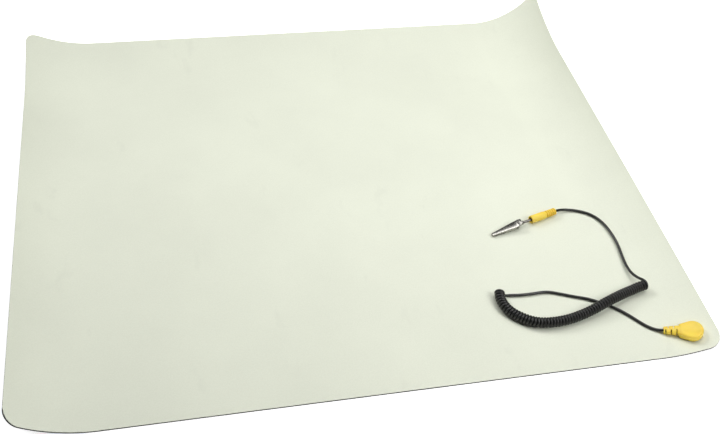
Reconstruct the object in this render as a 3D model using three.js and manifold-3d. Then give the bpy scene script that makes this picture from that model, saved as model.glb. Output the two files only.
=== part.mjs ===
import * as THREE from 'three';
import { mergeVertices } from 'three/addons/utils/BufferGeometryUtils.js';
import Module from 'manifold-3d';

// Anti static bench mat with its coiled ground cord, in millimetres, +Z up.
// The origin is under the middle of the mat, on the bench that it lies on.
// A two layer rubber sheet keeps some curl from the roll that it was sold in.
// The cord snaps on at the near right corner and ends in a plug with a clip.

// Sheet
const MAT_WIDTH = 600;
const MAT_DEPTH = 500;
const BACKING = 1.5;
const TOP_LAYER = 0.5;
const CORNER_RADIUS = 13;

// Curl left by the roll: how high each side stands, and over what width it bends
const LEFT_LIFT_NEAR = 26;
const LEFT_LIFT_FAR = 20;
const LEFT_CURL = 72;
const RIGHT_LIFT_NEAR = 10;
const RIGHT_LIFT_FAR = 41;
const RIGHT_CURL_NEAR = 55;
const RIGHT_CURL_FAR = 84;
const FAR_LIFT = 17;
const FAR_CURL = 100;
const CURL_POWER = 1.9;

// Facets of the sheet
const CORNER_STEPS = 3;
const CURL_STEP = 8;
const FAR_STEP = 12;
const FLAT_COLUMNS = 2;
const FLAT_ROWS = 6;

// Clearance between neighbours
const GAP = 0.3;

// Press stud on the mat
const STUD_INSET_X = 21.7;
const STUD_INSET_Y = 18;
const STUD_RADIUS = 4.9;
const STUD_HEIGHT = 4.3;
const STUD_FLANGE = 6.5;
const STUD_SHEET = 0.5;
const STUD_SEAT = 0.1;
const RIVET_RADIUS = 1.8;
const RIVET_FLANGE = 6.2;
const RIVET_SHEET = 0.6;

// Moulded snap cap with its strain relief, on the stud
const CAP_RADIUS = 9.1;
const CAP_HEIGHT = 6.4;
const CAP_SHOULDER = 11.4;
const CAP_EDGE = 1.6;
const CAP_HEADING = 160;
const SOCKET_WALL = 1;
const RELIEF_END = 24.4;
const RELIEF_RADIUS = 3.1;
const RELIEF_TIP_RADIUS = 2.3;
const RELIEF_FLATNESS = 1.6;
const RELIEF_SLOTS = 5;
const SLOT_WIDTH = 1.1;
const SLOT_PITCH = 2.3;

// Ground cord
const CORD_DIAMETER = 2.6;
const CORD_SIDES = 8;
const CORD_STEP = 6;
const CORD_INSIDE = 10;
const COIL_DIAMETER = 9.4;
const COIL_SIDES = 12;
const COIL_STEP = 8;

// Plug
const PLUG_X = 208.8;
const PLUG_Y = -67.6;
const PLUG_AXIS_HEIGHT = 4.3;
const PLUG_HEADING = 197;
const BOOT_LENGTH = 28.8;
const BOOT_TAIL_RADIUS = 3.2;
const BOOT_RADIUS = 3.9;
const BOOT_MOUTH_RADIUS = 2.7;
const BOOT_MOUTH_DEPTH = 5;
const PIN_RADIUS = 1.2;
const PIN_IN_BOOT = 14;
const PIN_BARE = 8.9;
const PIN_IN_CLIP = 4.5;

// Crocodile clip
const CLIP_LENGTH = 36;
const CLIP_SHEET = 0.5;
const CLIP_FLOOR = 3.9;
const CLIP_HALF_WIDTH = 3.9;
const CLIP_TIP_HALF_WIDTH = 1.4;
const CLIP_WAIST_HALF_WIDTH = 2.6;
const CLIP_BARREL_LENGTH = 5.5;
const CLIP_JAW_HEIGHT = 2.5;
const LEVER_START = 3;
const LEVER_HEIGHT = 4;
const PIVOT_X = 9;
const PIVOT_Z = -0.6;
const PIVOT_RADIUS = 0.6;
const PIVOT_HEAD = 1.2;
const EAR_RADIUS = 1.7;
const DIMPLE_RADIUS = 0.75;
const DIMPLE_X = [11.6, 16.2];
const TEETH = 8;
const TOOTH_DEPTH = 0.7;
const TEETH_RUN = 13;
const TEETH_FROM_TIP = 1;
const TEETH_LEVEL = -2.1;
const SPRING_WIRE = 0.5;
const SPRING_TURNS = 3;

// Round bodies
const SEGMENTS = 24;
const SMALL_SEGMENTS = 12;

const wasm = await Module();
wasm.setup();

const MAT_TOP = BACKING + TOP_LAYER;

function material(color, roughness, metalness) {
  return new THREE.MeshStandardMaterial({ color, roughness, metalness });
}

function mesh(name, geometry, finish) {
  const piece = new THREE.Mesh(geometry, finish);
  piece.name = name;
  return piece;
}

const FINISH = {
  topLayer: () => material(0xe9ecda, 0.75, 0),
  backing: () => material(0x16170f, 0.85, 0),
  stud: () => material(0xc4c4c0, 0.3, 1),
  moulding: () => material(0xf7d94a, 0.45, 0),
  cord: () => material(0x1b1c19, 0.4, 0),
  pin: () => material(0x8f8d86, 0.3, 1),
  clip: () => material(0xc9c8c4, 0.2, 1),
};

// Booleans
function solid(geometry, matrix = new THREE.Matrix4()) {
  const bare = new THREE.BufferGeometry();
  const placed = geometry.clone().applyMatrix4(matrix);
  bare.setAttribute('position', placed.getAttribute('position'));
  bare.setIndex(placed.getIndex());
  const merged = mergeVertices(bare, 1e-4);
  return new wasm.Manifold(new wasm.Mesh({
    numProp: 3,
    vertProperties: Float32Array.from(merged.getAttribute('position').array),
    triVerts: Uint32Array.from(merged.getIndex().array),
  }));
}

function geometryOf(body) {
  const result = body.getMesh();
  const geometry = new THREE.BufferGeometry();
  geometry.setAttribute('position', new THREE.BufferAttribute(result.vertProperties, 3));
  geometry.setIndex(new THREE.BufferAttribute(result.triVerts, 1));
  return geometry;
}

// A turned body about Z from points of radius and height, listed anticlockwise
function turned(points, segments = SEGMENTS) {
  const profile = points.map(([radius, height]) => new THREE.Vector2(radius, height));
  return new THREE.LatheGeometry(profile, segments).rotateX(Math.PI / 2);
}

// A turned body whose axis lies along +X
function turnedAlongX(points, segments = SEGMENTS) {
  return turned(points, segments).rotateY(Math.PI / 2);
}

function ring(points) {
  return [...points, points[0]];
}

function box(low, high) {
  const size = new THREE.Vector3().subVectors(high, low);
  const middle = new THREE.Vector3().addVectors(low, high).multiplyScalar(0.5);
  return new THREE.BoxGeometry(size.x, size.y, size.z).translate(middle.x, middle.y, middle.z);
}

// Sheet
function curl(distance, lift, width) {
  const q = THREE.MathUtils.clamp((width - distance) / width, 0, 1);
  const steep = 2 * CURL_POWER - 1;
  return {
    rise: lift * q ** CURL_POWER,
    pull: ((lift * CURL_POWER) ** 2 / (2 * steep * width)) * q ** steep,
  };
}

function underside(u, v) {
  const t = v / MAT_DEPTH + 0.5;
  const { lerp } = THREE.MathUtils;
  const left = curl(u + MAT_WIDTH / 2, lerp(LEFT_LIFT_NEAR, LEFT_LIFT_FAR, t), LEFT_CURL);
  const rightLift = lerp(RIGHT_LIFT_NEAR, RIGHT_LIFT_FAR, t);
  const right = curl(MAT_WIDTH / 2 - u, rightLift, lerp(RIGHT_CURL_NEAR, RIGHT_CURL_FAR, t));
  const far = curl(MAT_DEPTH / 2 - v, FAR_LIFT, FAR_CURL);
  return new THREE.Vector3(
    u + left.pull - right.pull,
    v - far.pull,
    left.rise + right.rise + far.rise,
  );
}

function sheetNormal(u, v) {
  const step = 0.01;
  const across = underside(u + step, v).sub(underside(u - step, v));
  const along = underside(u, v + step).sub(underside(u, v - step));
  return across.cross(along).normalize();
}

function inSheet(u, v, height) {
  return underside(u, v).addScaledVector(sheetNormal(u, v), height);
}

function spread(from, to, count) {
  return Array.from({ length: count }, (_, i) => from + ((to - from) * (i + 1)) / count);
}

function columns() {
  const half = MAT_WIDTH / 2;
  const inner = half - CORNER_RADIUS;
  const leftFlat = -half + LEFT_CURL;
  const rightFlat = half - Math.max(RIGHT_CURL_NEAR, RIGHT_CURL_FAR);
  const arc = Array.from({ length: CORNER_STEPS }, (_, i) =>
    CORNER_RADIUS * (1 - Math.cos((i * Math.PI) / 2 / CORNER_STEPS)));
  return [
    ...arc.map((inset) => -half + inset),
    -inner,
    ...spread(-inner, leftFlat, Math.ceil((leftFlat + inner) / CURL_STEP)),
    ...spread(leftFlat, rightFlat, FLAT_COLUMNS),
    ...spread(rightFlat, inner, Math.ceil((inner - rightFlat) / CURL_STEP)),
    ...arc.map((inset) => half - inset).reverse(),
  ];
}

function rows() {
  const half = MAT_DEPTH / 2;
  const flatEnd = half - FAR_CURL;
  return [
    -half,
    ...spread(-half, flatEnd, FLAT_ROWS),
    ...spread(flatEnd, half, Math.ceil(FAR_CURL / FAR_STEP)),
  ];
}

function halfDepth(u) {
  const past = Math.max(0, Math.abs(u) - (MAT_WIDTH / 2 - CORNER_RADIUS));
  const drop = CORNER_RADIUS - Math.sqrt(Math.max(0, CORNER_RADIUS ** 2 - past ** 2));
  return MAT_DEPTH / 2 - drop;
}

function sheetLayer(low, high) {
  const across = columns();
  const along = rows();
  const positions = [];
  for (const height of [low, high]) {
    for (const u of across) {
      for (const v of along) {
        const point = inSheet(u, (v * halfDepth(u)) / (MAT_DEPTH / 2), height);
        positions.push(point.x, point.y, point.z);
      }
    }
  }
  const count = across.length * along.length;
  const at = (i, j, side) => side * count + i * along.length + j;
  const index = [];
  const quad = (a, b, c, d) => index.push(a, b, c, a, c, d);
  for (let i = 0; i + 1 < across.length; i += 1) {
    for (let j = 0; j + 1 < along.length; j += 1) {
      quad(at(i, j, 1), at(i + 1, j, 1), at(i + 1, j + 1, 1), at(i, j + 1, 1));
      index.push(at(i, j, 0), at(i + 1, j + 1, 0), at(i + 1, j, 0));
      index.push(at(i, j, 0), at(i, j + 1, 0), at(i + 1, j + 1, 0));
    }
  }
  const endColumn = across.length - 1;
  const endRow = along.length - 1;
  for (let i = 0; i < endColumn; i += 1) {
    quad(at(i, 0, 0), at(i + 1, 0, 0), at(i + 1, 0, 1), at(i, 0, 1));
    quad(at(i + 1, endRow, 0), at(i, endRow, 0), at(i, endRow, 1), at(i + 1, endRow, 1));
  }
  for (let j = 0; j < endRow; j += 1) {
    quad(at(0, j + 1, 0), at(0, j, 0), at(0, j, 1), at(0, j + 1, 1));
    quad(at(endColumn, j, 0), at(endColumn, j + 1, 0), at(endColumn, j + 1, 1), at(endColumn, j, 1));
  }
  const geometry = new THREE.BufferGeometry();
  geometry.setAttribute('position', new THREE.Float32BufferAttribute(positions, 3));
  geometry.setIndex(index);
  return geometry;
}

// Where the stud stands: Z leaves the sheet, X points along the strain relief.
// The sheet curves a little under the flange, so the stud is seated above it.
function studPlace() {
  const u = MAT_WIDTH / 2 - STUD_INSET_X;
  const v = -MAT_DEPTH / 2 + STUD_INSET_Y;
  const up = sheetNormal(u, v);
  const heading = THREE.MathUtils.degToRad(CAP_HEADING);
  const side = new THREE.Vector3(-Math.sin(heading), Math.cos(heading), 0);
  const forward = side.clone().cross(up).normalize();
  const place = new THREE.Matrix4().makeBasis(forward, up.clone().cross(forward), up);
  return place.setPosition(inSheet(u, v, MAT_TOP + STUD_SEAT));
}

function matLayers(place) {
  const reach = MAT_TOP * 2;
  const hole = solid(turned([[0, -reach], [RIVET_RADIUS + GAP, -reach], [RIVET_RADIUS + GAP, reach],
    [0, reach]]), place);
  return [
    mesh('conductive_backing', geometryOf(solid(sheetLayer(0, BACKING)).subtract(hole)),
      FINISH.backing()),
    mesh('dissipative_top', geometryOf(solid(sheetLayer(BACKING, MAT_TOP)).subtract(hole)),
      FINISH.topLayer()),
  ];
}

// Press stud, in the frame of studPlace
function matStud() {
  const foot = GAP;
  const shelf = foot + STUD_SHEET;
  const neck = STUD_RADIUS - 0.6;
  const bore = RIVET_RADIUS + GAP;
  const floor = shelf + 0.3;
  return turned(ring([
    [bore, foot], [STUD_FLANGE, foot], [STUD_FLANGE, shelf], [neck + 0.2, shelf + 0.3],
    [neck, STUD_HEIGHT * 0.45], [STUD_RADIUS, STUD_HEIGHT * 0.7], [STUD_RADIUS - 0.2, STUD_HEIGHT - 0.3],
    [STUD_RADIUS - 1, STUD_HEIGHT], [STUD_RADIUS - 1.4, STUD_HEIGHT - 0.3],
    [STUD_RADIUS - 1.4, floor], [bore, floor],
  ]));
}

function studRivet() {
  const back = -MAT_TOP - GAP;
  const rolled = GAP + STUD_SHEET + 0.3 + GAP;
  const rolledRadius = STUD_RADIUS - 1.4 - 2 * GAP;
  return turned([
    [0, back - RIVET_SHEET], [RIVET_FLANGE - 0.3, back - RIVET_SHEET], [RIVET_FLANGE, back - 0.2],
    [RIVET_FLANGE, back], [RIVET_RADIUS, back], [RIVET_RADIUS, rolled], [rolledRadius, rolled],
    [rolledRadius, rolled + 0.4], [rolledRadius - 0.6, rolled + 0.7], [0, rolled + 0.7],
  ]);
}

const CAP_FOOT = GAP + STUD_SHEET + GAP;
const SOCKET_RADIUS = STUD_RADIUS + GAP + SOCKET_WALL;
const SOCKET_CEILING = STUD_HEIGHT + 2 * GAP;
const SOCKET_TOP = SOCKET_CEILING + STUD_SHEET;
const RELIEF_AXIS = CAP_FOOT + CAP_HEIGHT / 2;

function snapSocket() {
  const foot = CAP_FOOT + 0.1;
  const inner = STUD_RADIUS + GAP;
  return turned([
    [inner, foot], [SOCKET_RADIUS, foot], [SOCKET_RADIUS, SOCKET_TOP - 0.4],
    [SOCKET_RADIUS - 0.4, SOCKET_TOP], [0, SOCKET_TOP], [0, SOCKET_CEILING],
    [inner - 0.4, SOCKET_CEILING], [inner, SOCKET_CEILING - 0.4], [inner, foot],
  ]);
}

function capOutline(inset) {
  const radius = CAP_RADIUS - inset;
  const shoulder = RELIEF_RADIUS * RELIEF_FLATNESS + 0.4 - inset;
  const end = CAP_SHOULDER - inset;
  const open = Math.atan2(shoulder, end) + Math.acos(radius / Math.hypot(end, shoulder));
  const outline = new THREE.Shape();
  outline.moveTo(end, -shoulder);
  outline.lineTo(end, shoulder);
  outline.lineTo(radius * Math.cos(open), radius * Math.sin(open));
  outline.absarc(0, 0, radius, open, 2 * Math.PI - open, false);
  outline.closePath();
  return outline;
}

// Alternate slots on the two sides of a strain relief that runs along X
function reliefSlots(start, axisHeight, count) {
  const reach = 2 * RELIEF_RADIUS * RELIEF_FLATNESS;
  return Array.from({ length: count }, (_, i) => {
    const x = start + i * SLOT_PITCH;
    const side = i % 2 === 0 ? 1 : -1;
    const low = new THREE.Vector3(x, Math.min(0.5 * side, reach * side), axisHeight - reach);
    const high = new THREE.Vector3(x + SLOT_WIDTH, Math.max(0.5 * side, reach * side), axisHeight + reach);
    return solid(box(low, high));
  });
}

function snapCap() {
  const plate = new THREE.ExtrudeGeometry(capOutline(CAP_EDGE), {
    depth: CAP_HEIGHT - 2 * CAP_EDGE,
    bevelThickness: CAP_EDGE,
    bevelSize: CAP_EDGE,
    bevelSegments: 2,
    curveSegments: SEGMENTS,
  }).translate(0, 0, CAP_FOOT + CAP_EDGE);
  const reliefStart = CAP_SHOULDER - 2 * CAP_EDGE;
  const cordHole = CORD_DIAMETER / 2 + GAP;
  const relief = turnedAlongX([
    [0, reliefStart], [RELIEF_RADIUS, reliefStart], [RELIEF_RADIUS, CAP_SHOULDER],
    [RELIEF_TIP_RADIUS, RELIEF_END], [0, RELIEF_END],
  ], SEGMENTS).scale(1, RELIEF_FLATNESS, 1).translate(0, 0, RELIEF_AXIS);
  const bore = turnedAlongX([
    [0, RELIEF_END - CORD_INSIDE - GAP], [cordHole, RELIEF_END - CORD_INSIDE - GAP],
    [cordHole, RELIEF_END + 1], [0, RELIEF_END + 1],
  ], SMALL_SEGMENTS).translate(0, 0, RELIEF_AXIS);
  const recess = turned([
    [0, CAP_FOOT - 1], [SOCKET_RADIUS + GAP, CAP_FOOT - 1], [SOCKET_RADIUS + GAP, SOCKET_TOP + GAP],
    [0, SOCKET_TOP + GAP],
  ]);
  let cap = solid(plate).add(solid(relief)).subtract(solid(bore)).subtract(solid(recess));
  const slotStart = RELIEF_END - RELIEF_SLOTS * SLOT_PITCH;
  for (const slot of reliefSlots(slotStart, RELIEF_AXIS, RELIEF_SLOTS)) {
    cap = cap.subtract(slot);
  }
  return geometryOf(cap);
}

// Cord routes, from the middle of the mat, with heights above its flat top
const SNAP_LEAD = [
  [262.82, -227.25, 5.35], [258.4, -225.66, 4.3], [254.02, -224.05, 3.26], [248.8, -221.6, 2.15],
  [242.8, -216.8, 1.6], [237.1, -210.2, 1.6], [231.4, -202.6, 1.6], [225.6, -196, 1.6],
  [219.2, -190.2, 1.6], [212.8, -185.8, 1.6], [206.4, -181.4, 1.6], [200, -178, 1.6],
  [189, -173.8, 1.6], [178, -169.2, 1.6], [168.3, -165.7, 1.6], [161, -165, 1.6],
  [153.6, -165.4, 1.6], [141.5, -165.4, 1.6], [133, -164.6, 1.6], [126.6, -164, 1.6],
];
const COIL = [
  [121.9, -162, 5], [120.5, -170.4, 5], [122, -180, 5], [127.3, -188.4, 5], [135, -195.3, 5],
  [143.4, -199.9, 5], [153.6, -202, 5], [164.8, -202.2, 5], [176, -200.9, 5.1], [188, -198, 5.5],
  [200.4, -194.4, 6.9], [209, -191.2, 8], [216.5, -188.3, 8.3], [224, -185.3, 8], [233, -181.5, 7.1],
  [243, -177.8, 6.3], [250.4, -175.5, 6.6], [257.5, -174.4, 7.5],
];
const PLUG_LEAD = [
  [255.6, -168.8, 9.3], [254.6, -166, 8], [253.6, -162.5, 6.6], [252.4, -156.5, 4.9],
  [252.1, -149, 3.8], [252.5, -141, 3.2], [253.2, -134, 3.2], [254.8, -118.6, 3.5], [254.3, -102, 3.6],
  [251.2, -86.6, 3.2], [245, -75.2, 2.4], [235.6, -68.3, 1.8], [226, -65.2, 1.9],
  [217, -65.2, 3.1], [208.8, -67.6, 4.3], [204, -69.07, 4.3], [199.5, -70.44, 4.3],
];

function route(points) {
  return new THREE.CatmullRomCurve3(points.map((point) => new THREE.Vector3(...point)));
}

function tube(curve, diameter, sides, step) {
  const section = new THREE.Shape();
  for (let i = 0; i < sides; i += 1) {
    const angle = (2 * Math.PI * i) / sides;
    const point = [Math.cos(angle), Math.sin(angle)].map((part) => (part * diameter) / 2);
    if (i === 0) {
      section.moveTo(...point);
    } else {
      section.lineTo(...point);
    }
  }
  section.closePath();
  return new THREE.ExtrudeGeometry(section, {
    steps: Math.ceil(curve.getLength() / step),
    extrudePath: curve,
    bevelEnabled: false,
  });
}

function cord() {
  const group = new THREE.Group();
  group.position.z = MAT_TOP;
  group.add(
    mesh('lead_snap_end', tube(route(SNAP_LEAD), CORD_DIAMETER, CORD_SIDES, CORD_STEP), FINISH.cord()),
    mesh('cord_coil', tube(route(COIL), COIL_DIAMETER, COIL_SIDES, COIL_STEP), FINISH.cord()),
    mesh('lead_plug_end', tube(route(PLUG_LEAD), CORD_DIAMETER, CORD_SIDES, CORD_STEP), FINISH.cord()),
  );
  return group;
}

// Plug, with X along its axis from the cord's end to the pin
function plugBoot() {
  const cordHole = CORD_DIAMETER / 2 + GAP;
  const pinHole = PIN_RADIUS + GAP;
  const pinStart = BOOT_LENGTH - PIN_IN_BOOT - GAP;
  const cordEnd = CORD_INSIDE + GAP;
  const body = turnedAlongX([
    [0, 0], [BOOT_TAIL_RADIUS, 0], [BOOT_TAIL_RADIUS + 0.4, BOOT_LENGTH * 0.4],
    [BOOT_RADIUS, BOOT_LENGTH - 1], [BOOT_RADIUS - 0.4, BOOT_LENGTH], [0, BOOT_LENGTH],
  ]);
  const bore = turnedAlongX([[0, -1], [cordHole, -1], [cordHole, cordEnd], [0, cordEnd]], SMALL_SEGMENTS);
  const socket = turnedAlongX([
    [0, pinStart], [pinHole, pinStart], [pinHole, BOOT_LENGTH - BOOT_MOUTH_DEPTH],
    [BOOT_MOUTH_RADIUS, BOOT_LENGTH - BOOT_MOUTH_DEPTH], [BOOT_MOUTH_RADIUS, BOOT_LENGTH + 1],
    [0, BOOT_LENGTH + 1],
  ], SMALL_SEGMENTS);
  let boot = solid(body).subtract(solid(bore)).subtract(solid(socket));
  for (const slot of reliefSlots(SLOT_WIDTH, 0, RELIEF_SLOTS - 1)) {
    boot = boot.subtract(slot);
  }
  return geometryOf(boot);
}

function plugPin() {
  const start = BOOT_LENGTH - PIN_IN_BOOT;
  const end = BOOT_LENGTH + PIN_BARE + PIN_IN_CLIP;
  return turnedAlongX([
    [0, start], [PIN_RADIUS, start], [PIN_RADIUS, end - 0.8], [PIN_RADIUS - 0.7, end], [0, end],
  ], SMALL_SEGMENTS);
}

// Clip, with X from its barrel's mouth to the tips of its jaws and Z up
const TEETH_END = CLIP_LENGTH - TEETH_FROM_TIP;
const TEETH_START = TEETH_END - TEETH_RUN;
const NOSE = CLIP_LENGTH - 8;

function sideProfile(points, width) {
  const outline = new THREE.Shape(points.map(([x, z]) => new THREE.Vector2(x, z)));
  return new THREE.ExtrudeGeometry(outline, { depth: width, bevelEnabled: false })
    .rotateX(Math.PI / 2)
    .translate(0, width / 2, 0);
}

// Seen from above a jaw is widest at the pivot and tapers to its tip
function planProfile(widest, tip, tail) {
  const outline = new THREE.Shape();
  outline.moveTo(-1, -tail);
  outline.lineTo(LEVER_START, -tail);
  outline.lineTo(PIVOT_X - 2, -widest);
  outline.lineTo(PIVOT_X + 1, -widest);
  outline.lineTo(CLIP_LENGTH, -tip);
  outline.lineTo(CLIP_LENGTH + 0.3, 0);
  outline.lineTo(CLIP_LENGTH, tip);
  outline.lineTo(PIVOT_X + 1, widest);
  outline.lineTo(PIVOT_X - 2, widest);
  outline.lineTo(LEVER_START, tail);
  outline.lineTo(-1, tail);
  outline.closePath();
  const height = 40;
  return new THREE.ExtrudeGeometry(outline, { depth: height, bevelEnabled: false })
    .translate(0, 0, -height / 2);
}

function toothLine(level, direction) {
  const pitch = (TEETH_END - TEETH_START) / TEETH;
  const line = [];
  for (let i = 0; i < TEETH; i += 1) {
    const x = TEETH_END - i * pitch;
    line.push([x, level], [x - pitch / 2, level + direction * TOOTH_DEPTH]);
  }
  line.push([TEETH_START, level]);
  return line;
}

function pivotHole() {
  const reach = 2 * CLIP_HALF_WIDTH;
  const radius = PIVOT_RADIUS + GAP;
  return solid(turned([[0, -reach], [radius, -reach], [radius, reach], [0, reach]], SMALL_SEGMENTS)
    .rotateX(Math.PI / 2)
    .translate(PIVOT_X, 0, PIVOT_Z));
}

function upperJaw() {
  const end = CLIP_LENGTH - 1.5;
  const roof = PIVOT_Z + CLIP_JAW_HEIGHT;
  const top = [
    [LEVER_START, LEVER_HEIGHT], [PIVOT_X - 3.4, LEVER_HEIGHT - 0.4], [PIVOT_X - 1, roof + 0.4],
    [PIVOT_X + 2, roof], [PIVOT_X + 8, roof - 0.6], [NOSE, roof - 1.9], [end, roof - 2.7],
  ];
  const ear = PIVOT_Z - EAR_RADIUS;
  const outside = sideProfile([
    ...top.slice().reverse(),
    [LEVER_START, LEVER_HEIGHT - 0.9], [PIVOT_X - 3.2, LEVER_HEIGHT - 2],
    [PIVOT_X - 1.8, PIVOT_Z - 0.9], [PIVOT_X, ear], [PIVOT_X + 2.4, ear + 0.5],
    [TEETH_START - 1, TEETH_LEVEL], ...toothLine(TEETH_LEVEL, 1).reverse(),
    [CLIP_LENGTH, TEETH_LEVEL - 0.2], [CLIP_LENGTH, roof - 3.1],
  ].reverse(), 30);
  const under = top.map(([x, z]) => [x, z - CLIP_SHEET]);
  const inside = sideProfile([
    ...under.slice().reverse(),
    [0, LEVER_HEIGHT - CLIP_SHEET], [0, -9], [end, -9],
  ].reverse(), 30);
  const outer = solid(planProfile(CLIP_HALF_WIDTH, CLIP_TIP_HALF_WIDTH, CLIP_WAIST_HALF_WIDTH));
  const inner = solid(planProfile(
    CLIP_HALF_WIDTH - CLIP_SHEET,
    CLIP_TIP_HALF_WIDTH - CLIP_SHEET,
    CLIP_WAIST_HALF_WIDTH - CLIP_SHEET,
  ));
  const hollow = solid(inside).intersect(inner);
  return geometryOf(solid(outside).intersect(outer).subtract(hollow).subtract(pivotHole()));
}

// Two round punch marks low in each side of the lower jaw
function punchMarks() {
  const reach = 2 * CLIP_HALF_WIDTH;
  return DIMPLE_X.map((x) => solid(turned([
    [0, -reach], [DIMPLE_RADIUS, -reach], [DIMPLE_RADIUS, reach], [0, reach],
  ], SMALL_SEGMENTS).rotateX(Math.PI / 2).translate(x, 0, -CLIP_FLOOR + CLIP_SHEET + DIMPLE_RADIUS)));
}

function lowerJaw() {
  const widest = CLIP_HALF_WIDTH - CLIP_SHEET - GAP - 0.1;
  const level = TEETH_LEVEL - GAP - 0.1;
  const holeRadius = PIN_RADIUS + GAP;
  const barrelRadius = holeRadius + CLIP_SHEET;
  const bulkhead = CLIP_BARREL_LENGTH - 1;
  const heel = PIVOT_X - 1;
  const tipFloor = CLIP_FLOOR - 0.5;
  const bottom = [[bulkhead - 1, -barrelRadius], [bulkhead, -barrelRadius - 0.4], [heel, -CLIP_FLOOR],
    [NOSE, -CLIP_FLOOR], [CLIP_LENGTH, -tipFloor]];
  const outside = sideProfile([
    ...bottom,
    [CLIP_LENGTH, level], ...toothLine(level, -1),
    [TEETH_START - 1.5, level], [PIVOT_X + EAR_RADIUS, PIVOT_Z], [PIVOT_X + 1.1, PIVOT_Z + 1.3],
    [PIVOT_X - 1.1, PIVOT_Z + 1.3], [PIVOT_X - EAR_RADIUS, PIVOT_Z], [bulkhead, 0], [bulkhead - 1, 0],
  ], 30);
  const inside = sideProfile([
    [bulkhead + CLIP_SHEET, CLIP_SHEET - barrelRadius - 0.4], [heel, CLIP_SHEET - CLIP_FLOOR],
    [NOSE, CLIP_SHEET - CLIP_FLOOR], [CLIP_LENGTH - 0.8, CLIP_SHEET - tipFloor],
    [CLIP_LENGTH - 0.8, 9], [bulkhead + CLIP_SHEET, 9],
  ], 30);
  const outer = solid(planProfile(widest, CLIP_TIP_HALF_WIDTH, barrelRadius));
  const inner = solid(planProfile(
    widest - CLIP_SHEET,
    CLIP_TIP_HALF_WIDTH - CLIP_SHEET,
    barrelRadius - CLIP_SHEET,
  ));
  const barrel = turnedAlongX([
    [0, 0], [barrelRadius, 0], [barrelRadius, CLIP_BARREL_LENGTH], [0, CLIP_BARREL_LENGTH],
  ], SMALL_SEGMENTS);
  const hole = turnedAlongX([
    [0, -1], [holeRadius, -1], [holeRadius, CLIP_BARREL_LENGTH + 1], [0, CLIP_BARREL_LENGTH + 1],
  ], SMALL_SEGMENTS);
  const hollow = solid(inside).intersect(inner);
  let jaw = solid(outside).intersect(outer).subtract(hollow).subtract(pivotHole());
  for (const mark of punchMarks()) {
    jaw = jaw.subtract(mark);
  }
  return geometryOf(jaw.add(solid(barrel)).subtract(solid(hole)));
}

function clipPivot() {
  const half = CLIP_HALF_WIDTH + GAP;
  const head = 0.5;
  return turned([
    [0, -half - head], [PIVOT_HEAD, -half - head], [PIVOT_HEAD, -half], [PIVOT_RADIUS, -half],
    [PIVOT_RADIUS, half], [PIVOT_HEAD, half], [PIVOT_HEAD, half + head], [0, half + head],
  ], SMALL_SEGMENTS).rotateX(Math.PI / 2).translate(PIVOT_X, 0, PIVOT_Z);
}

// Torsion spring round the pivot: one leg on the lower jaw's floor, one under the lever
function clipSpring() {
  const radius = PIVOT_RADIUS + GAP + SPRING_WIRE / 2 + 0.1;
  const pitch = SPRING_WIRE + 0.1;
  const half = (SPRING_TURNS * pitch) / 2;
  const floor = -CLIP_FLOOR + CLIP_SHEET + SPRING_WIRE / 2 + 0.2;
  const ceiling = LEVER_HEIGHT - CLIP_SHEET - SPRING_WIRE / 2 - GAP;
  const points = [[PIVOT_X + 6, -half, floor], [PIVOT_X + 2, -half, floor + 0.1]];
  const perTurn = 10;
  const sweep = SPRING_TURNS * perTurn;
  for (let i = 0; i <= sweep; i += 1) {
    const angle = -Math.PI * 0.45 - (2 * Math.PI * i) / perTurn;
    points.push([
      PIVOT_X + radius * Math.cos(angle),
      -half + (2 * half * i) / sweep,
      PIVOT_Z + radius * Math.sin(angle),
    ]);
  }
  points.push([PIVOT_X - 1.7, half, PIVOT_Z + 0.6], [PIVOT_X - 4, half, ceiling - 0.5]);
  return tube(route(points), SPRING_WIRE, 6, SPRING_WIRE * 1.2);
}

function plugAndClip() {
  const plug = new THREE.Group();
  plug.position.set(PLUG_X, PLUG_Y, MAT_TOP + PLUG_AXIS_HEIGHT);
  plug.rotation.z = THREE.MathUtils.degToRad(PLUG_HEADING);
  plug.add(
    mesh('plug_boot', plugBoot(), FINISH.moulding()),
    mesh('plug_pin', plugPin(), FINISH.pin()),
  );
  const clip = new THREE.Group();
  clip.position.x = BOOT_LENGTH + PIN_BARE;
  clip.add(
    mesh('clip_lower_jaw', lowerJaw(), FINISH.clip()),
    mesh('clip_upper_jaw', upperJaw(), FINISH.clip()),
    mesh('clip_pivot', clipPivot(), FINISH.clip()),
    mesh('clip_spring', clipSpring(), FINISH.clip()),
  );
  plug.add(clip);
  return plug;
}

function matAssembly() {
  const group = new THREE.Group();
  const place = studPlace();
  group.add(...matLayers(place));
  const snap = new THREE.Group();
  snap.applyMatrix4(place);
  snap.add(
    mesh('mat_stud', matStud(), FINISH.stud()),
    mesh('stud_rivet', studRivet(), FINISH.stud()),
    mesh('snap_cap', snapCap(), FINISH.moulding()),
    mesh('snap_socket', snapSocket(), FINISH.stud()),
  );
  group.add(snap);
  return group;
}

// The origin goes under the middle of the curled sheet's outline
const mat = matAssembly();
const extent = new THREE.Box3().setFromObject(mat);
const bench = new THREE.Group();
bench.add(mat, cord(), plugAndClip());
bench.position.set(-(extent.min.x + extent.max.x) / 2, -(extent.min.y + extent.max.y) / 2, -extent.min.z);
bench.updateMatrixWorld(true);

const part = new THREE.Group();
part.name = 'anti_static_bench_mat';
part.add(bench);
part.updateMatrixWorld(true);

export default part;
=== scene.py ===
import math

import bmesh
import bpy
from mathutils import Matrix, Vector


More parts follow.
